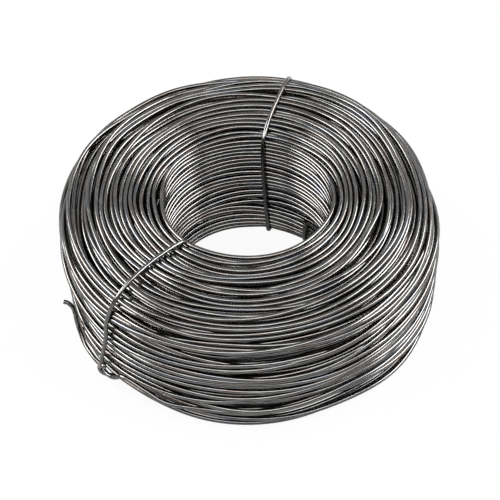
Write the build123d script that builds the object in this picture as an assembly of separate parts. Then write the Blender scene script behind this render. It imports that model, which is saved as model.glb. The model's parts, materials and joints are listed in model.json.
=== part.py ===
# A coil of annealed tie wire, wound on a mandrel, slipped off and tied in two places.
# Millimetres, +Z up. The origin is the middle of the bore on the face that the coil lies on.
# Plan angles run anticlockwise from +X, seen from above.

import os
from math import cos, degrees, pi, radians, sin

from build123d import *

# The wire
wire_diameter = 1.6  # 16 gauge
wire_sides = 8  # flats round a drawn length of wire

# The winding
coil_diameter = 127.0
bore_diameter = 55.0
coil_height = 47.0
top_shoulder_radius = 10.5  # the outer layers slump on the upper end
base_shoulder_radius = 7.5
bore_edge_width = 1.2  # bevel where the end turns dip into the bore
bore_land_width = 1.6  # flat of the innermost turn on each end
turn_spacing = 2.4  # from one turn to the next across an end
groove_depth = 0.8  # between two turns
shoulder_slopes = 3  # each shoulder falls away in this many slopes

# The two ties, each one piece of wire bound round the section of the winding
tie_diameter = 1.6
front_tie_angle = 225.0
back_tie_angle = 76.0
tie_clearance = 0.3  # clearance between a tie and the turns under it
tie_sink_depth = 0.2  # how far a bedded run lies below the bore and the base
tie_inner_bend_radius = 4.0  # bend radius at the two edges of the bore
tie_end_height = 10.5  # where the two ends are twisted together
tie_end_length = 9.0
tie_end_spacing = 1.3  # between the two twisted ends, which press into each other

# The loose outer end of the coil's own wire, past the front tie
tail_bed_depth = 0.4  # how far it sinks between the turns that it lies on
tail_root_depth = 1.2  # under the turns where it leaves the winding
tail_lift_height = 2.9  # of its tip, off the turns
tail_bends_share = 0.45  # of the shorter run beside each bend
tail_angles = [219.0, 214.5, 210.0, 206.0, 202.6, 200.2]
tail_heights = [9.0, 9.4, 11.6, 17.2, 21.0, 21.6]

overrun = 5.0  # of a cut past the face that it starts from

coil_radius = coil_diameter / 2
bore_radius = bore_diameter / 2
tie_radius = tie_diameter / 2


def end_outline(face_height, inward, shoulder_radius):
    # One end of the section, from the bore's bevel outwards: a flat crest for the innermost turn,
    # then a groove and a crest for each turn, and the shoulder where the outer layers fall away.
    first_crest = bore_radius + bore_edge_width + bore_land_width
    last_crest = coil_radius - shoulder_radius
    turns = round((last_crest - first_crest) / turn_spacing)
    pitch = (last_crest - first_crest) / turns

    points = [(bore_radius + bore_edge_width, face_height), (first_crest, face_height)]
    for turn in range(turns):
        crest = first_crest + turn * pitch
        points.append((crest + pitch / 2, face_height + inward * groove_depth))
        points.append((crest + pitch, face_height))
    for slope in range(1, shoulder_slopes + 1):
        turned = pi / 2 * slope / shoulder_slopes
        rise = shoulder_radius * (1 - cos(turned))
        points.append((last_crest + shoulder_radius * sin(turned), face_height + inward * rise))
    return points


def turned_coil():
    top = end_outline(coil_height, -1, top_shoulder_radius)
    base = end_outline(0, 1, base_shoulder_radius)
    bore_top = (bore_radius, coil_height - bore_edge_width)
    bore_base = (bore_radius, bore_edge_width)
    section = make_face(Plane.XZ * Polyline(bore_top, *top, *reversed(base), bore_base, close=True))
    return revolve(section, Axis.Z)


# The line that a tie follows round the section, in the plane through the coil's axis:
# sunk in the bore and in the base, proud of the upper end and of the outer side.
tie_bore_line = bore_radius + tie_sink_depth + tie_radius
tie_base_line = tie_sink_depth + tie_radius
tie_side_line = coil_radius + tie_clearance + tie_radius
tie_top_line = coil_height + tie_clearance + tie_radius


def tie_loop(inset):
    # The tie's own line, or the same line drawn in towards the middle of the section.
    low_inner = (tie_bore_line + inset, tie_base_line + inset)
    low_outer = (tie_side_line - inset, tie_base_line + inset)
    high_outer = (tie_side_line - inset, tie_top_line - inset)
    high_inner = (tie_bore_line + inset, tie_top_line - inset)
    top_bend = top_shoulder_radius + tie_clearance + tie_radius
    bends = [tie_inner_bend_radius, base_shoulder_radius, top_bend, tie_inner_bend_radius]
    return FilletPolyline(
        low_inner, low_outer, high_outer, high_inner, radius=[bend - inset for bend in bends], close=True
    )


def tie_bed(angle):
    # The narrow bed that a tie presses into the turns: all that lies outside the tie's inner edge.
    reach = 2 * (coil_radius + overrun)
    clear = tie_clearance / 2
    kept = make_face(tie_loop(tie_radius + clear))
    slab = Pos(coil_radius - bore_radius, coil_height / 2) * Rectangle(reach, reach) - kept
    in_bore = Pos(-reach / 2, 0) * Rectangle(reach, reach)
    outline = Plane.XZ * (slab - in_bore)
    return Rot(0, 0, angle) * extrude(outline, tie_radius + clear, both=True)


def tie_wire(angle):
    path = Plane.XZ * tie_loop(0)
    start = Plane(path @ 0, z_dir=path % 0)
    loop = sweep(start * RegularPolygon(tie_radius, wire_sides), path)
    turn = degrees(tie_end_length / tie_side_line)
    for side in (-1, 1):
        height = tie_end_height + side * tie_end_spacing / 2
        end_section = Plane.XZ * Pos(tie_side_line, height) * RegularPolygon(tie_radius, wire_sides)
        loop += revolve(end_section, Axis.Z, turn)
    return Rot(0, 0, angle) * loop


def tail_path():
    # From under the turns beside the front tie, up the side, to a tip that springs outwards.
    on_turns = coil_radius + wire_diameter / 2 - tail_bed_depth
    reaches = [on_turns] * len(tail_angles)
    reaches[0] = coil_radius - tail_root_depth
    reaches[-1] = on_turns + tail_lift_height
    points = [
        Vector(reach * cos(radians(angle)), reach * sin(radians(angle)), height)
        for reach, angle, height in zip(reaches, tail_angles, tail_heights)
    ]
    runs = [end - start for start, end in zip(points, points[1:])]
    bends = []
    for run_in, run_out in zip(runs, runs[1:]):
        half_turn = radians(run_in.get_angle(run_out) / 2)
        shorter = min(run_in.length, run_out.length)
        bends.append(tail_bends_share * shorter * cos(half_turn) / sin(half_turn))
    return FilletPolyline(*points, radius=bends)


coil = turned_coil()
for angle in (front_tie_angle, back_tie_angle):
    coil -= tie_bed(angle)
tail_line = tail_path()
tail_start = Plane(tail_line @ 0, z_dir=tail_line % 0)
coil += sweep(tail_start * RegularPolygon(wire_diameter / 2, wire_sides), tail_line)

os.makedirs("parts", exist_ok=True)
export_step(coil, "parts/wire_coil.step")
export_step(tie_wire(front_tie_angle), "parts/tie_wire_front.step")
export_step(tie_wire(back_tie_angle), "parts/tie_wire_back.step")
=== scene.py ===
import json
import math

import bmesh
import bpy
import numpy as np
from mathutils import Matrix, Vector


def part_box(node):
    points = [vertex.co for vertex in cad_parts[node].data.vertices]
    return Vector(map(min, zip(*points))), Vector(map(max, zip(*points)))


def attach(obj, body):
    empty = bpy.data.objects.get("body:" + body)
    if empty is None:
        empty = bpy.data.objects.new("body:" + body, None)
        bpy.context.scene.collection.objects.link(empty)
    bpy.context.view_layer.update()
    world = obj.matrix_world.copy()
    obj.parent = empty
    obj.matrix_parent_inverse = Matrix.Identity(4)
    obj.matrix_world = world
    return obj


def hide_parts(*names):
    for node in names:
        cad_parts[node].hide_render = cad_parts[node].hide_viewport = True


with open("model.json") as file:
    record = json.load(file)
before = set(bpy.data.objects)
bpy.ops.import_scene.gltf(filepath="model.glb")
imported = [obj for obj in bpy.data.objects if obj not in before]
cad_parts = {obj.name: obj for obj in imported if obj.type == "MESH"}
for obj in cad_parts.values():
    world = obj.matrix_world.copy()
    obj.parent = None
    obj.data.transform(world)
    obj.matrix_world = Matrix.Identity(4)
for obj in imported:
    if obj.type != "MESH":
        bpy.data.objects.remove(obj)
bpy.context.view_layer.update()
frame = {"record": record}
mm = 0.001

# Sizes from the frame, in millimetres
mounts = {m["name"]: m for m in frame["record"]["mounts"]}
boreRadius = mounts["bore"]["dims"]["r_mm"]
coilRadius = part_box("wire_coil")[1][0] / mm
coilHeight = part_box("wire_coil")[1][2] / mm
wire = 1.5  # diameter of the drawn wire
half = wire / 2
tiny = 1e-9  # keeps a division clear of zero


# Small tools. Plan angles are in degrees, anticlockwise from +X

def bell(spread, tails):
    # weights of a bell curve, cut off at so many spreads
    reach = max(1, int(spread * tails))
    return np.exp(-0.5 * (np.arange(-reach, reach + 1) / spread) ** 2)


def smoothNoise(rng, count, spread):
    # white noise blurred along the wire, back to unit strength
    kernel = bell(spread, 4)
    noise = rng.standard_normal(count + len(kernel) - 1)
    return np.convolve(noise, kernel, mode="valid") / np.sqrt((kernel ** 2).sum())


def blur(values, spread):
    kernel = bell(spread, 3)
    padded = np.pad(values, len(kernel) // 2, mode="edge")
    return np.convolve(padded, kernel / kernel.sum(), mode="valid")


def blurRows(rows, spread):
    return np.stack([blur(row, spread) for row in rows])


def turned(a, b):
    # from plan angle b to a, -180 to 180
    return (a - b + 180) % 360 - 180


def inSpace(r, plan, z):
    turn = np.radians(plan)
    return np.c_[r * np.cos(turn), r * np.sin(turn), z]


def lengthsAlong(line):
    return np.concatenate([[0], np.cumsum(np.linalg.norm(np.diff(line, axis=0), axis=1))])


def evenSteps(line, step):
    lengths = lengthsAlong(line)
    places = np.linspace(0, lengths[-1], max(2, int(lengths[-1] / step)))
    return np.stack([np.interp(places, lengths, line[:, axis]) for axis in range(3)], axis=1)


def throughPoints(points, step, parts=12):
    # a smooth line through given points: each stretch in so many parts, then all in even steps
    points = np.array(points, float)
    ends = np.vstack([2 * points[0] - points[1], points, 2 * points[-1] - points[-2]])
    t = np.linspace(0, 1, parts, endpoint=False)[:, None]
    line = []
    for a, b, c, d in zip(ends, ends[1:], ends[2:], ends[3:]):
        line.append(0.5 * (2 * b + (c - a) * t + (2 * a - 5 * b + 4 * c - d) * t ** 2
                           + (3 * b - a - 3 * c + d) * t ** 3))
    return evenSteps(np.vstack(line + [points[-1:]]), step)


# The winding: one wire, laid layer on layer on a mandrel

winding = {
    "seed": 11,
    "stations": 150,          # steps in one turn
    "pitch": 2.17,            # along the axis, from turn to turn
    "pitchVaries": (0.96, 1.04),
    "firstStep": 2.9,         # from the first layer to the second
    "layerStep": 1.79,        # from one layer to the next
    "layerRoom": 0.1,         # that the core's last layer may take from the layers over it
    "dwell": 0.7,             # of a turn lies flat at each end of a layer
    "stepUp": 0.12,           # of a turn, to climb to the next layer
    "turnBack": 0.06,         # of a turn, to change its way along the axis
    "coverPitch": 1.95,       # of the last two layers, which lie over the shoulders
    "coverDepth": 1.65,
    "coverInset": 0.5,        # under the outline, so that stray turns have room
    "coverReach": 1.6,        # how far they lie over the flat of the top
    "coverDive": (2.0, 9.0),  # between these heights the first goes under the second
    "coverStop": 0.2,         # of the way up, where the second ends on its way down
    "coverPoints": 20,        # on each shoulder
    "boreClear": 0.35,        # the innermost turns lie this far behind the bore's wall
    "endClear": 0.1,          # room under and over the end turns
    "topShoulder": 11.8,
    "baseShoulder": 7.6,
    "startAngle": 46.0,       # where the inner end sits
    "endAngle": 250.0,        # where the outer end leaves the turns
}


def coreEnds(r, w):
    # lowest and highest place for a turn of the core, which the last layers cover at the shoulders
    cover = 2 * w["coverDepth"] + w["coverInset"]
    low, high = half + w["endClear"], coilHeight - half - w["endClear"]
    for shoulder, side in ((w["topShoulder"], "top"), (w["baseShoulder"], "base")):
        over = r + half - (coilRadius - shoulder)
        if over > 0:
            drop = shoulder - math.sqrt(max(0.0, (shoulder - cover) ** 2 - over ** 2))
            if side == "top":
                high -= drop
            else:
                low += drop
    return low, high


def coverLine(depths, w):
    # over the base's shoulder, up the side and over the top's, at a depth under the outline
    line = []
    base, top = w["baseShoulder"], w["topShoulder"]
    for bend, height, start in ((base, base, -90), (top, coilHeight - top, 0)):
        facing = np.radians(np.linspace(start, start + 90, w["coverPoints"]))
        sunk = np.interp(height + bend * np.sin(facing), w["coverDive"], depths)
        depth = half + w["coverInset"] + sunk
        line.append(np.c_[coilRadius - bend + (bend - depth) * np.cos(facing),
                          height + (bend - depth) * np.sin(facing)])
    line.append(line[-1][-1:] - (w["coverReach"], 0))
    return np.vstack(line)


def layWire(rng, w):
    # layer on layer, up and down, as the mandrel turns, then two layers over the whole outside
    perTurn = w["stations"]
    r = boreRadius + half + w["boreClear"]
    radii, heights, shares = [], [], []
    upwards = True

    def lay(line, pitch, share, span=(0, 1), dwell=0):
        lengths = lengthsAlong(line)
        reach = lengths[-1] * abs(span[1] - span[0])
        places = np.linspace(span[0], span[1], int(reach / pitch * perTurn)) * lengths[-1]
        places = np.pad(places, int(dwell * perTurn), mode="edge")
        radii.append(np.interp(places, lengths, line[:, 0]))
        heights.append(np.interp(places, lengths, line[:, 1]))
        shares.append(np.full(len(places), share))

    while r + half <= coilRadius - 2 * w["coverDepth"] - w["coverInset"] + w["layerRoom"]:
        low, high = coreEnds(r, w)
        line = np.array([(r, low), (r, high)])
        share = (r - boreRadius) / (coilRadius - boreRadius)
        pitch = w["pitch"] * rng.uniform(*w["pitchVaries"])
        lay(line if upwards else line[::-1], pitch, share, dwell=w["dwell"])
        r += w["firstStep"] if len(radii) == 1 else w["layerStep"]
        upwards = not upwards
    for depths, span in (((0, w["coverDepth"]), (0, 1)), ((0, 0), (1, w["coverStop"]))):
        lay(coverLine(depths, w), w["coverPitch"], 1.0, span)
    r, z, share = (np.concatenate(part).astype(float) for part in (radii, heights, shares))
    extra = (w["startAngle"] - w["endAngle"]) % 360 / 360 * perTurn  # trim the end to its angle
    count = int((len(r) - extra) // perTurn * perTurn + extra)
    r = blur(r[:count], perTurn * w["stepUp"])
    z = blur(z[:count], perTurn * w["turnBack"])
    plan = w["startAngle"] - 360 * np.arange(count) / perTurn
    print("wire laid:", count // perTurn, "turns in", len(radii), "layers")
    return r, z, plan, share[:count]


# Its disorder: off the mandrel, turns wander, bunch and part, lean, swell, and ride over others

disorder = {
    "endBand": 6.0,           # turns this near the top wander along the radius instead
    "endCalm": 0.7,           # and this much less across
    "endStray": 0.7,
    "strayInner": 0.22,       # how far a turn wanders across the turns, first layer
    "strayOuter": 1.25,       # and last layer
    "strayGrowth": 1.4,       # power of the share of the way out
    "strayDepth": 0.35,
    "strayLength": 0.23,      # of a turn
    "bunchWaves": 14,         # turns gather in bunches and leave gaps
    "bunchWidths": (5.5, 11.0),
    "bunchBeats": (1, 6),     # round the coil, the last number left out
    "bunchInner": 0.32,
    "bunchOuter": 0.8,
    "bunchGrowth": 1.2,
    "bunchEnd": 0.5,          # on the top, outside the first third
    "lean": 0.8,              # the outer layers sit higher on one side
    "leanAngle": 35.0,
    "leanGrowth": 2,
    "sagAngle": 80.0,         # on this side the inner turns have sunk at the top
    "sagDepth": 3.2,
    "sagWidth": 9.0,          # from the bore outwards
    "sagReach": 14.0,         # from the top down
    "swellGrowth": 1.5,
    "partingReach": 6.0,      # round the middle of a parting
    "partingCross": 0.1,      # of the push goes the other way across
    "endZone": 4.0,           # what lies this near the top or the bore follows its face
    "crossings": 30,          # turns that ride over their neighbours
    "crossingSlides": (1.8, 3.8),
    "crossingSpreads": (14, 34),
    "crossingRadii": (36, 56),    # on the top
    "crossingHeights": (9, 40),   # on the side
    "crossingDepth": 1.0,
    "crossingLift": 0.9,
    "boreLift": 0.2,          # of that, in the bore
    "degreeWeight": 0.6,      # mm that a degree counts for, to find the turn nearest a place
    "bothWays": 1.6,          # evens out the slide of a turn that goes to one side and back to the other
}

# angle, its spread, height, its spread, how far out: the side isn't quite round
swells = [
    (131, 10, 44, 6, -0.9),
    (151, 12, 43, 6, 0.6),
    (172, 18, 39, 6, -1.1),
    (178, 12, 34, 5, 0.9),
    (186, 16, 29, 6, -0.5),
    (196, 16, 25, 8, -4.2),
    (186, 22, 7, 8, -3.2),
    (211, 14, 12, 7, 0.8),
    (233, 16, 6, 6, -3.4),
    (298, 16, 5, 6, -1.6),
    (322, 18, 10, 8, 2.0),
    (355, 40, 27, 10, 1.6),
    (12, 22, 40, 7, -4.6),
    (44, 10, 45, 6, 0.7),
    (92, 24, 45, 7, -2.1),
]

# angle, its spread, radius, height, how wide and how far the turns part, and how it climbs in mm a degree
partings = [
    (58, 24, 29.0, 12.9, 0.5, 4.0, 0.05),
    (58, 40, 28.8, 23.7, 2.0, -0.7, 0.0),
    (217, 10, 62.5, 26.5, 3.0, 1.4, 0.0),
    (254, 26, 61.0, 41.0, 2.5, -2.0, 0.0),
    (268, 20, 62.5, 18.0, 2.5, 0.9, 0.0),
    (284, 18, 62.5, 29.0, 2.5, 0.8, 0.0),
    (186, 16, 34.0, 46.0, 2.5, 0.9, 0.0),
]

# angle, its spread, radius, height, how far it slides over, 1 where it slides both ways
handLaid = [
    (177, 24, 49.5, 46.2, -2.2, 0),
    (126, 22, 50.5, 46.2, 3.2, 0),
    (139, 11, 28.6, 20.0, -2.4, 1),
]


def wander(rng, r, z, share, perTurn, d):
    count = len(r)
    length = perTurn * d["strayLength"]
    heading = np.stack([blur(np.gradient(r), perTurn), blur(np.gradient(z), perTurn)])
    heading /= np.hypot(*heading) + tiny
    onTop = np.clip((z - (coilHeight - d["endBand"])) / d["endBand"], 0, 1) * (share < 1)
    stray = d["strayInner"] + (d["strayOuter"] - d["strayInner"]) * share ** d["strayGrowth"]
    across = smoothNoise(rng, count, length) * stray * (1 - d["endCalm"] * onTop)
    deep = smoothNoise(rng, count, length) * d["strayDepth"] * share
    newR = r + across * heading[0] + deep * heading[1]
    newZ = z + across * heading[1] - deep * heading[0]
    newR = newR + smoothNoise(rng, count, length) * d["endStray"] * onTop * share
    return newR, newZ, onTop


def gather(rng, r, z, plan, share, onTop, d):
    # how far waves that run through the section move each station
    bunch = d["bunchInner"] + (d["bunchOuter"] - d["bunchInner"]) * share ** d["bunchGrowth"]
    bunch = np.maximum(bunch, d["bunchEnd"] * onTop * np.clip(share * 3, 0, 1))
    moves = []
    for _ in range(d["bunchWaves"]):
        toward = rng.uniform(0, math.pi)
        width = rng.uniform(*d["bunchWidths"])
        beats = rng.integers(*d["bunchBeats"]) * rng.choice([-1, 1])
        along = (math.cos(toward) * r + math.sin(toward) * z) * 2 * math.pi / width
        wave = np.sin(along + beats * np.radians(plan) + rng.uniform(0, 2 * math.pi))
        wave *= bunch / math.sqrt(d["bunchWaves"] / 2)
        moves.append((math.cos(toward) * wave, math.sin(toward) * wave))
    return moves


def crossingPlaces(rng, d):
    rides = list(handLaid)
    for _ in range(d["crossings"]):
        face = rng.choice(["top", "side", "side"])
        slide = rng.uniform(*d["crossingSlides"]) * rng.choice([-1, 1])
        if face == "top":
            spot = (rng.uniform(*d["crossingRadii"]), coilHeight - d["crossingDepth"])
        else:
            spot = (coilRadius - d["crossingDepth"], rng.uniform(*d["crossingHeights"]))
        angle = rng.uniform(0, 360)
        spread = rng.uniform(*d["crossingSpreads"])
        rides.append((angle, spread, *spot, slide, rng.integers(0, 2)))
    return rides


def disturb(rng, r, z, plan, share, perTurn, d):
    newR, newZ, onTop = wander(rng, r, z, share, perTurn, d)
    for moveR, moveZ in gather(rng, r, z, plan, share, onTop, d):
        newR += moveR
        newZ += moveZ
    newZ += d["lean"] * np.cos(np.radians(plan - d["leanAngle"])) * share ** d["leanGrowth"]
    sunk = np.clip(1 - (r - boreRadius) / d["sagWidth"], 0, 1)
    sunk = sunk * np.clip(1 - (coilHeight - z) / d["sagReach"], 0, 1)
    newZ -= d["sagDepth"] * sunk * (1 + np.cos(np.radians(plan - d["sagAngle"]))) / 2
    for angle, spread, height, tall, out in swells:
        near = np.exp(-(turned(plan, angle) / spread) ** 2 - ((z - height) / tall) ** 2)
        newR += out * near * share ** d["swellGrowth"]
    topZone = coilHeight - d["endZone"]
    for angle, spread, radius, height, wide, push, climb in partings:
        away = turned(plan, angle)
        fromR, fromZ = newR - radius, newZ - height - climb * away
        near = np.exp(-(away / spread) ** 2 - (np.hypot(fromR, fromZ) / d["partingReach"]) ** 2)
        shareR, shareZ = (1.0, d["partingCross"]) if height > topZone else (d["partingCross"], 1.0)
        newR += push * near * np.clip(fromR / wide, -1, 1) * shareR
        newZ += push * near * np.clip(fromZ / wide, -1, 1) * shareZ
    rides = crossingPlaces(rng, d)
    for angle, spread, radius, height, slide, both in rides:
        off = np.abs(turned(plan, angle)) * d["degreeWeight"] + np.hypot(newR - radius, newZ - height)
        step = (np.arange(len(r)) - int(np.argmin(off))) * 360 / perTurn / spread
        bump = np.exp(-step ** 2)
        slid = slide * (bump * step * d["bothWays"] if both else bump)
        lift = d["crossingLift"] * bump
        if height > topZone:
            newR, newZ = newR + slid, newZ + lift
        elif radius < boreRadius + d["endZone"]:
            newR, newZ = newR - d["boreLift"] * lift, newZ + slid
        else:
            newR, newZ = newR + lift, newZ + slid
    print("turns disturbed,", len(rides), "ride over others")
    return newR, newZ


# The wire's own ends: radius, plan angle, height

# the loose outer end, from the last turn to its tip
tail = [
    (62.6, 244, 7.2), (62.8, 236, 9.0), (63.1, 231, 10.4), (63.6, 227.4, 10.7), (64.2, 225.3, 8.9),
    (64.5, 222.9, 7.7), (64.5, 220.3, 8.2), (64.4, 218.8, 9.2), (64.8, 215.9, 10.5), (64.5, 210.8, 11.3),
    (64.2, 207.3, 14.1), (64.2, 205.8, 16.6), (64.3, 205.2, 19.5), (64.6, 205.4, 22.6), (65.0, 205.1, 24.5),
    (65.6, 204.4, 25.3), (66.3, 203.8, 25.8), (67.2, 203.5, 26.1),
]

# the inner end stands up the bore's wall from the first turn
innerEnd = [(28.0, 44.0, 12.4), (27.9, 44.6, 10.0), (27.9, 45.3, 7.0), (28.0, 45.8, 4.0), (28.5, 45.4, 1.7)]


# The ties, and the turns settled under them

ties = {
    "wire": 1.42,
    "sides": 14,
    "window": 2.5,            # of turns that a tie bears on, either side, in degrees
    "bed": 0.5,               # how far it presses the turns back in the bore
    "lift": 1.2,              # and up from the base
    "bedSpread": 3.6,         # degrees
    "bedReach": 7.0,          # into the winding
    "bedAt": 170,             # angle round the section, for the plan angle of the bed
    "bite": 0.12,             # into the turns that it is pulled round
    "lookStep": 2,            # degrees round the section
    "loopStep": 0.6,
    "loopBlur": 4,            # steps
    "planBlur": 6,
    "step": 0.7,
    "stepBlur": 1.0,
    "endGap": 3,              # steps from the twist where its two ends part
    "twistTurns": 0.6,
    "twistRadius": 0.72,
    "twistLength": 1.6,
    "twistDrop": 0.3,         # it falls this far along its length
    "twistAt": -25.0,         # angle round the section
    "twistAhead": 1.0,        # from the loop
    "twistOut": 0.35,
    "twistPoints": 28,
    # where a tie stands off the turns: angle round the section, its spread, how far
    "slack": {"front": (0, 1, 0.0), "back": (-143, 14, 2.6)},
    # seen along the section: angle round it, then the plan angle there
    "routes": {
        "front": [(-180, 225.4), (-142, 224.0), (-90, 221.4), (-50, 219.4), (-32, 219.4), (-20, 220.7),
                  (-6, 222.3), (7, 223.5), (28, 223.6), (36, 223.6), (51, 225.2), (71, 225.0), (93, 224.0),
                  (113, 224.6), (126, 225.8), (180, 225.4)],
        "back": [(-180, 77.6), (-158, 76.8), (-135, 75.6), (-124, 74.2), (-90, 74.0), (-30, 75.0),
                 (30, 75.0), (71, 74.2), (103, 75.6), (124, 77.4), (141, 78.0), (180, 77.6)],
    },
}

settling = {
    "steps": 170,
    "looseSteps": 6,          # at the end, when turns only push each other apart
    "findEvery": 16,          # steps, to look again for turns that are near
    "findReach": 1.9,         # wires apart
    "spacing": 1.01,          # wires apart, once settled
    "push": 0.35,             # of an overlap is mended in a step
    "nearest": 1e-6,          # keeps a push finite where two turns lie in one place
    "overlay": 0.7,           # how far a later turn climbs on an earlier one that it meets
    "overlayFacing": 5,       # power that turns the climb square to the nearest face
    "stiffness": 0.65,        # of a step is smoothed out along the wire
    "stiffLength": 3.2,       # stations
    "hold": 0.996,            # of its way from home that a turn keeps in a step
    "boreGap": 0.2,
    "floorGap": 0.05,
    "proud": 0.9,             # how far a turn may stand out of the side and the top
    "steepest": 0.13,         # a turn that crosses others more steeply than this is eased
    "easeLength": 9.0,        # over this many stations
    "easeGain": 2.5,
    "lastBlur": 1.4,
}


def planAt(name, degree):
    # plan angle of a tie at an angle round the section
    return np.interp(degree, *zip(*ties["routes"][name]))


def bedStrength(plan, angle):
    return np.exp(-(turned(plan, angle) / ties["bedSpread"]) ** 2)


def pressedHome(r, z, plan):
    # where the turns lie with the ties, and the inner end, pressed into them
    held = np.maximum(*(bedStrength(plan, planAt(name, ties["bedAt"])) for name in ties["routes"]))
    ended = bedStrength(plan, innerEnd[2][1]) * (z < innerEnd[0][2] + wire)
    inner = np.clip(1 - (r - boreRadius) / ties["bedReach"], 0, 1)
    lower = np.clip(1 - z / ties["bedReach"], 0, 1)
    return np.stack([r + np.maximum(held, ended) * ties["bed"] * inner, z + held * ties["lift"] * lower])


def nearPairs(place, perTurn):
    # pairs of stations at the same plan angle whose turns are close
    firsts, seconds = [], []
    reach = wire * settling["findReach"]
    index = np.arange(place.shape[1])
    for station in range(perTurn):
        here = index[station::perTurn]
        p = place[:, here]
        apart = (p[0][:, None] - p[0]) ** 2 + (p[1][:, None] - p[1]) ** 2
        a, b = np.nonzero(np.triu(apart < reach ** 2, 1))
        firsts.append(here[a])
        seconds.append(here[b])
    return np.concatenate(firsts), np.concatenate(seconds)


def settle(r, z, plan, perTurn, st):
    # turns that cut into each other are pushed apart, and each keeps to a smooth line
    home = pressedHome(r, z, plan)
    count = len(r)
    low = [boreRadius + half + st["boreGap"], half + st["floorGap"]]
    high = [coilRadius - half + st["proud"], coilHeight - half + st["proud"]]
    middle = np.array([[boreRadius + coilRadius], [coilHeight]]) / 2
    facing = (home - middle) / np.array([[coilRadius - boreRadius], [coilHeight]])
    facing = np.stack([np.abs(facing[0]) ** st["overlayFacing"], facing[1] ** st["overlayFacing"]])
    facing = facing / (np.hypot(*facing) + tiny) * wire * st["overlay"]
    place = home.copy()
    for step in range(st["steps"]):
        if step % st["findEvery"] == 0:
            first, second = nearPairs(place, perTurn)
        gap = place[:, second] - place[:, first]
        far = np.hypot(*gap)
        gap = gap + facing[:, first] * np.clip(1 - far / wire, 0, 1)
        push = np.clip(wire * st["spacing"] - far, 0, None) / (np.hypot(*gap) + st["nearest"]) * st["push"]
        move = np.zeros_like(place)
        for axis in (0, 1):
            shove = gap[axis] * push
            move[axis] -= np.bincount(first, shove, count)
            move[axis] += np.bincount(second, shove, count)
        place = place + move
        if step < st["steps"] - st["looseSteps"]:
            offset = place - home
            smooth = blurRows(offset, st["stiffLength"])
            offset = (1 - st["stiffness"]) * offset + st["stiffness"] * smooth
            place = home + offset * st["hold"]
        for axis in (0, 1):
            place[axis] = np.clip(place[axis], low[axis], high[axis])
    slope = np.hypot(np.gradient(place[0]), np.gradient(place[1])) / (2 * math.pi * place[0] / perTurn)
    steep = (slope > st["steepest"]).astype(float)
    eased = np.clip(blur(steep, st["easeLength"]) * st["easeGain"], 0, 1)
    place = place + (blurRows(place, st["easeLength"]) - place) * eased
    place = blurRows(place, st["lastBlur"])
    far = np.hypot(*(place[:, second] - place[:, first]))
    print("turns settled, deepest overlap left:", round(float(wire - far.min()), 3), "mm")
    return place


def tieLoop(name, turnR, turnZ, plan, t):
    # a tie is pulled round the turns, so it follows their outermost places round the section
    out = (wire + t["wire"]) / 2 - t["bite"]
    slackAt, slackSpread, slack = t["slack"][name]
    loop = []
    for degree in range(-180, 181, t["lookStep"]):
        near = np.abs(turned(plan, planAt(name, degree))) < t["window"]
        turnsHere = np.c_[turnR[near], turnZ[near]]
        facing = np.array([math.cos(math.radians(degree)), math.sin(math.radians(degree))])
        loose = slack * math.exp(-((degree - slackAt) / slackSpread) ** 2)
        loop.append(turnsHere[np.argmax(turnsHere @ facing)] + facing * (out + loose))
    loop = np.array(loop)
    loop[:, 1] = np.maximum(loop[:, 1], t["wire"] / 2)
    return evenSteps(np.c_[loop, np.zeros(len(loop))], t["loopStep"])[:-1, :2]


def twistedEnds(start, t):
    # the two ends wind round each other, away from the loop along the side of the coil
    outward = np.array([start[0], start[1], 0]) / np.hypot(*start[:2])
    sideways = np.array([-outward[1], outward[0], 0])
    axisOf = sideways * t["twistLength"] - np.array([0, 0, t["twistDrop"]])
    length = np.linalg.norm(axisOf)
    ahead = axisOf / length
    across = np.cross(outward, ahead)
    run = np.linspace(0, 1, t["twistPoints"])[:, None]
    ends = []
    for opposite in (0, math.pi):
        swing = 2 * math.pi * t["twistTurns"] * run + opposite
        line = start + ahead * (t["twistAhead"] + run * length) + outward * t["twistOut"]
        ends.append(line + t["twistRadius"] * (across * -np.cos(swing) + outward * np.sin(swing)))
    return ends


def tieLine(name, turnR, turnZ, plan, t):
    loop = tieLoop(name, turnR, turnZ, plan, t)
    facing = np.degrees(np.arctan2(loop[:, 1] - coilHeight / 2, loop[:, 0] - (boreRadius + coilRadius) / 2))
    start = int(np.argmin(np.abs(turned(facing, t["twistAt"]))))
    keep = slice(t["endGap"], len(loop) - t["endGap"])
    loop, facing = np.roll(loop, -start, axis=0)[keep], np.roll(facing, -start)[keep]
    line = inSpace(loop[:, 0], blur(planAt(name, facing), t["planBlur"]), loop[:, 1])
    line = blurRows(line.T, t["loopBlur"]).T
    first, last = twistedEnds((line[0] + line[-1]) / 2, t)
    if (first[0] - last[0])[2] * np.sign(line[0][2] - line[-1][2]) <= 0:
        first, last = last, first
    line = evenSteps(np.vstack([first[::-1], line, last]), t["step"])
    return blurRows(line.T, t["stepBlur"]).T


# Materials

def colour(code):
    # sRGB hex to linear
    parts = [int(code[i:i + 2], 16) / 255 for i in (1, 3, 5)]
    return [p / 12.92 if p <= 0.04045 else ((p + 0.055) / 1.055) ** 2.4 for p in parts] + [1.0]


def node(tree, kind, links=None, **settings):
    made = tree.nodes.new(kind)
    for key, value in settings.items():
        setattr(made, key, value)
    for key, value in (links or {}).items():
        if isinstance(value, bpy.types.NodeSocket):
            tree.links.new(value, made.inputs[key])
        else:
            made.inputs[key].default_value = value
    return made


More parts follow.
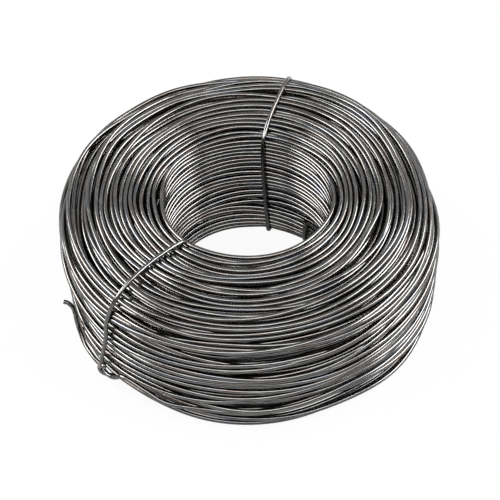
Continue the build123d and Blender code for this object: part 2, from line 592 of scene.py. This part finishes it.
steelLook = {
    "grey": "#5c5b59",
    "brown": "#5f5753",       # where the pot let air in
    "blue": "#595b5f",        # temper colour
    "pale": "#6b6a68",        # rubbed where turns slid over each other
    # patches round the coil, and their width across the turns in mm
    "patches": {"brown": (5.0, 1.6), "blue": (3.0, 2.72), "pale": (12.0, 1.1)},
    "tintFrom": (0.5, 0.72),  # of a pattern, where a tint starts and where it is full
    "roughness": (0.15, 0.24),
    "roughFrom": (0.3, 0.7),
}


def annealedSteel(name, look):
    # Low-carbon steel, drawn through a die and annealed in a pot: a thin dark oxide over smooth metal, so
    # each turn has a narrow bright line of light on a dark grey body, a little brown or blue here and there.
    material = bpy.data.materials.new(name)
    material.use_nodes = True
    tree = material.node_tree
    shader = tree.nodes["Principled BSDF"]
    place = node(tree, "ShaderNodeTexCoord").outputs["Object"]
    flat = node(tree, "ShaderNodeVectorMath", {0: place, 1: (1, 1, 0)}, operation="MULTIPLY").outputs[0]
    radius = node(tree, "ShaderNodeVectorMath", {0: flat}, operation="LENGTH").outputs["Value"]
    bearing = node(tree, "ShaderNodeVectorMath", {0: flat}, operation="NORMALIZE").outputs[0]

    def alongTurns(around, width):
        # noise drawn out along the turns: so many patches round the coil, so many mm across
        each = 1 / (width * mm)
        lift = node(tree, "ShaderNodeVectorMath", {0: place, 1: (0, 0, each)}, operation="MULTIPLY")
        lay = node(tree, "ShaderNodeVectorMath", {0: bearing, 1: (around, around, 0), 2: lift.outputs[0]},
                   operation="MULTIPLY_ADD")
        out = node(tree, "ShaderNodeMath", {0: radius, 1: each}, operation="MULTIPLY")
        noise = node(tree, "ShaderNodeTexNoise", {"Vector": lay.outputs[0], "W": out.outputs[0],
                     "Scale": 1.0, "Detail": 1.0}, noise_dimensions="4D")
        return noise.outputs["Fac"]

    patterns = {tint: alongTurns(*patch) for tint, patch in look["patches"].items()}
    base = colour(look["grey"])
    starts, full = look["tintFrom"]
    for tint, pattern in patterns.items():
        share = node(tree, "ShaderNodeMapRange", {"Value": pattern, "From Min": starts, "From Max": full})
        base = node(tree, "ShaderNodeMix", {0: share.outputs[0], 6: base, 7: colour(look[tint])},
                    data_type="RGBA").outputs[2]
    tree.links.new(base, shader.inputs["Base Color"])
    starts, full = look["roughFrom"]
    smooth, rough = look["roughness"]
    rubbed = node(tree, "ShaderNodeMapRange", {"Value": patterns["pale"], "From Min": starts,
                  "From Max": full, "To Min": smooth, "To Max": rough})
    tree.links.new(rubbed.outputs[0], shader.inputs["Roughness"])
    shader.inputs["Metallic"].default_value = 1.0
    return material


# The pieces

shown = {
    "depth": 4.5,             # turns deeper than this are out of sight
    "deepStep": 3,            # and keep one station in so many
    "margin": 4,              # stations, at the end of a run that is out of sight
    "marginFrom": 0.02,
    "sides": 10,
    "pieces": "abcde",
    "innerJoin": 7,           # stations of the first turn that the inner end takes over
    "tailJoin": 4,            # and of the last turn, the tail
    "endStep": 1.2,           # mm along both ends
}


def depthOf(r, z, w):
    # how far inside the winding's outline a turn lies
    inside = np.minimum(r - boreRadius, coilRadius - r)
    inside = np.minimum(inside, np.minimum(z, coilHeight - z))
    for shoulder, edge in ((w["topShoulder"], coilHeight - z), (w["baseShoulder"], z)):
        along, up = shoulder - (coilRadius - r), shoulder - edge
        corner = (along > 0) & (up > 0)
        inside = np.where(corner, np.minimum(inside, shoulder - np.hypot(along, up)), inside)
    return inside


def wirePiece(name, points, diameter, sides, material, twist):
    # round wire along a line, closed at its cut ends
    curve = bpy.data.curves.new(name, "CURVE")
    curve.dimensions = "3D"
    curve.bevel_depth = diameter / 2 * mm
    curve.bevel_resolution = sides // 2 - 2
    curve.use_fill_caps = True
    curve.twist_mode = twist
    spline = curve.splines.new("POLY")
    spline.points.add(len(points) - 1)
    spline.points.foreach_set("co", np.c_[points * mm, np.ones(len(points))].ravel())
    spline.use_smooth = True
    temp = bpy.data.objects.new(name + "Line", curve)
    bpy.context.scene.collection.objects.link(temp)
    bpy.context.view_layer.update()
    mesh = bpy.data.meshes.new_from_object(temp.evaluated_get(bpy.context.evaluated_depsgraph_get()))
    mesh.name = name
    piece = bpy.data.objects.new(name, mesh)
    bpy.context.scene.collection.objects.link(piece)
    bpy.data.objects.remove(temp)
    bpy.data.curves.remove(curve)
    mesh.materials.clear()
    mesh.materials.append(material)
    mesh.shade_smooth()
    print(name, "triangles:", sum(len(p.vertices) - 2 for p in mesh.polygons))
    return piece


steel = annealedSteel("annealedSteelWire", steelLook)

# Wind the coil
perTurn = winding["stations"]
rng = np.random.default_rng(winding["seed"])
laidR, laidZ, plan, share = layWire(rng, winding)
laidR, laidZ = disturb(rng, laidR, laidZ, plan, share, perTurn, disorder)
turnR, turnZ = settle(laidR, laidZ, plan, perTurn, settling)
path = inSpace(turnR, plan, turnZ)

# The whole wire, from its inner end through the turns to its tail
innerJoin, tailJoin = shown["innerJoin"], shown["tailJoin"]
firstTurn = path[[innerJoin // 2, innerJoin - 1]]
innerLine = throughPoints(np.vstack([inSpace(*np.array(innerEnd).T), firstTurn]), shown["endStep"])
lastTurn = path[[-tailJoin]]
tailLine = throughPoints(np.vstack([lastTurn, inSpace(*np.array(tail).T)]), shown["endStep"])
inSight = (depthOf(turnR, turnZ, winding) < shown["depth"]).astype(float)
kept = blur(inSight, shown["margin"]) > shown["marginFrom"]
kept |= np.arange(len(path)) % shown["deepStep"] == 0
kept[:innerJoin] = kept[-tailJoin:] = False
wholeWire = np.vstack([innerLine, path[kept], tailLine])
metres = len(path) * 2 * math.pi / perTurn * turnR.mean() * mm
print("wire:", len(wholeWire), "stations,", round(metres), "m")

cuts = np.linspace(0, len(wholeWire) - 1, len(shown["pieces"]) + 1).astype(int)
for letter, start, stop in zip(shown["pieces"], cuts, cuts[1:]):
    piece = wirePiece("turns_" + letter, wholeWire[start:stop + 1], wire, shown["sides"], steel, "Z_UP")
    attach(piece, "root")
    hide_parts("wire_coil")

# The ties go round the turns and the tail
boundR = np.concatenate([turnR, np.hypot(tailLine[:, 0], tailLine[:, 1])])
boundZ = np.concatenate([turnZ, tailLine[:, 2]])
boundPlan = np.concatenate([plan, np.degrees(np.arctan2(tailLine[:, 1], tailLine[:, 0]))])
for name in ties["routes"]:
    line = tieLine(name, boundR, boundZ, boundPlan, ties)
    piece = wirePiece("tie_" + name, line, ties["wire"], ties["sides"], steel, "MINIMUM")
    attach(piece, "root")
    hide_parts("tie_wire_" + name)


# Studio

studio = {
    "floor": "#9c9c9c",
    "floorReach": 3.0,         # metres
    "floorWhite": 0.93,        # how white the floor shows to the camera
    "floorGleam": 0.1,         # the same in the metal, which sees the coil's shadow too
    "sweep": (0.04, 0.22),     # how high the white sweep reaches, and where it ends
    "backdrop": (0.25, 0.5),   # the same behind the coil
    "ceiling": 0.09,
    "elevation": 47.0,
    "distance": 754.0,
    "lens": 159.7,
    "sensor": 36.0,
    "nearClip": 0.01,
    "target": (0.0, 0.0, 20.0),
    "offset": (0.37, -0.41),   # of the picture's middle, along the picture
    "roll": 1.9,
}

# name, place and size in mm, radiance
softBoxes = [
    ("softBoxRight", (750, 100, 650), (1000, 420), 17.5),
    ("softBoxLeft", (-750, 100, 650), (1000, 420), 17.5),
    ("softBoxFront", (0, -480, 900), (1500, 600), 6.8),
]


def makeCamera(st):
    cam = bpy.data.cameras.new("camera")
    cam.lens = st["lens"]
    cam.sensor_width = st["sensor"]
    cam.clip_start = st["nearClip"]
    tilt = math.radians(st["elevation"])
    ahead = Vector((0, math.cos(tilt), -math.sin(tilt)))
    up = Vector((0, math.sin(tilt), math.cos(tilt)))
    right = Vector((1, 0, 0))
    roll = math.radians(st["roll"])
    aim = Vector(st["target"]) + right * st["offset"][0] + up * st["offset"][1]
    rolledRight = right * math.cos(roll) - up * math.sin(roll)
    rolledUp = right * math.sin(roll) + up * math.cos(roll)
    turn = Matrix((rolledRight, rolledUp, -ahead)).transposed()
    place = (aim - ahead * st["distance"]) * mm
    obj = bpy.data.objects.new("camera", cam)
    obj.matrix_world = Matrix.Translation(place) @ turn.to_4x4()
    bpy.context.scene.collection.objects.link(obj)
    bpy.context.scene.camera = obj


def makeFloor(st):
    # a pale floor that shows white to the camera and keeps the coil's shadow
    shape = bmesh.new()
    bmesh.ops.create_grid(shape, x_segments=1, y_segments=1, size=st["floorReach"])
    mesh = bpy.data.meshes.new("floor")
    shape.to_mesh(mesh)
    shape.free()
    floor = bpy.data.objects.new("floor", mesh)
    bpy.context.scene.collection.objects.link(floor)
    material = bpy.data.materials.new("paleFloor")
    material.use_nodes = True
    tree = material.node_tree
    tree.nodes.clear()
    rays = node(tree, "ShaderNodeLightPath")
    share = node(tree, "ShaderNodeMath", {0: rays.outputs["Is Camera Ray"], 1: st["floorWhite"]},
                 operation="MULTIPLY").outputs[0]
    for ray in ("Is Glossy Ray", "Is Transmission Ray"):
        gleam = node(tree, "ShaderNodeMath", {0: rays.outputs[ray], 1: st["floorGleam"]},
                     operation="MULTIPLY").outputs[0]
        share = node(tree, "ShaderNodeMath", {0: share, 1: gleam}, operation="MAXIMUM").outputs[0]
    matt = node(tree, "ShaderNodeBsdfDiffuse", {"Color": colour(st["floor"])})
    white = node(tree, "ShaderNodeEmission", {"Color": (1, 1, 1, 1), "Strength": 1.0})
    both = node(tree, "ShaderNodeMixShader", {0: share, 1: matt.outputs[0], 2: white.outputs[0]})
    node(tree, "ShaderNodeOutputMaterial", {"Surface": both.outputs[0]})
    mesh.materials.append(material)


def makeWorld(st):
    # a white sweep behind the coil and up to the horizon, under a dim ceiling
    world = bpy.data.worlds.new("studioWorld")
    bpy.context.scene.world = world
    world.use_nodes = True
    tree = world.node_tree
    tree.nodes.clear()
    facing = node(tree, "ShaderNodeTexCoord").outputs["Generated"]
    part = node(tree, "ShaderNodeSeparateXYZ", {0: facing})
    low = node(tree, "ShaderNodeMapRange", {"Value": part.outputs["Z"], "From Min": st["sweep"][0],
               "From Max": st["sweep"][1], "To Min": 1.0, "To Max": 0.0}).outputs[0]
    behind = node(tree, "ShaderNodeMapRange", {"Value": part.outputs["Y"], "From Min": st["backdrop"][0],
                  "From Max": st["backdrop"][1]}).outputs[0]
    white = node(tree, "ShaderNodeMath", {0: low, 1: behind}, operation="MAXIMUM").outputs[0]
    strength = node(tree, "ShaderNodeMapRange", {"Value": white, "To Min": st["ceiling"], "To Max": 1.0})
    back = node(tree, "ShaderNodeBackground", {"Color": (1, 1, 1, 1), "Strength": strength.outputs[0]})
    node(tree, "ShaderNodeOutputWorld", {"Surface": back.outputs[0]})


def softBox(name, place, size, radiance):
    lamp = bpy.data.lights.new(name, "AREA")
    lamp.shape = "RECTANGLE"
    lamp.size, lamp.size_y = [v * mm for v in size]
    lamp.energy = radiance * math.pi * lamp.size * lamp.size_y
    obj = bpy.data.objects.new(name, lamp)
    where = Vector(place) * mm
    aim = Vector((0, 0, coilHeight / 2)) * mm
    facing = (aim - where).to_track_quat("-Z", "Y").to_matrix().to_4x4()
    obj.matrix_world = Matrix.Translation(where) @ facing
    bpy.context.scene.collection.objects.link(obj)


makeCamera(studio)
makeFloor(studio)
makeWorld(studio)
for box in softBoxes:
    softBox(*box)
bpy.context.scene.view_settings.view_transform = "Standard"
print("studio set")
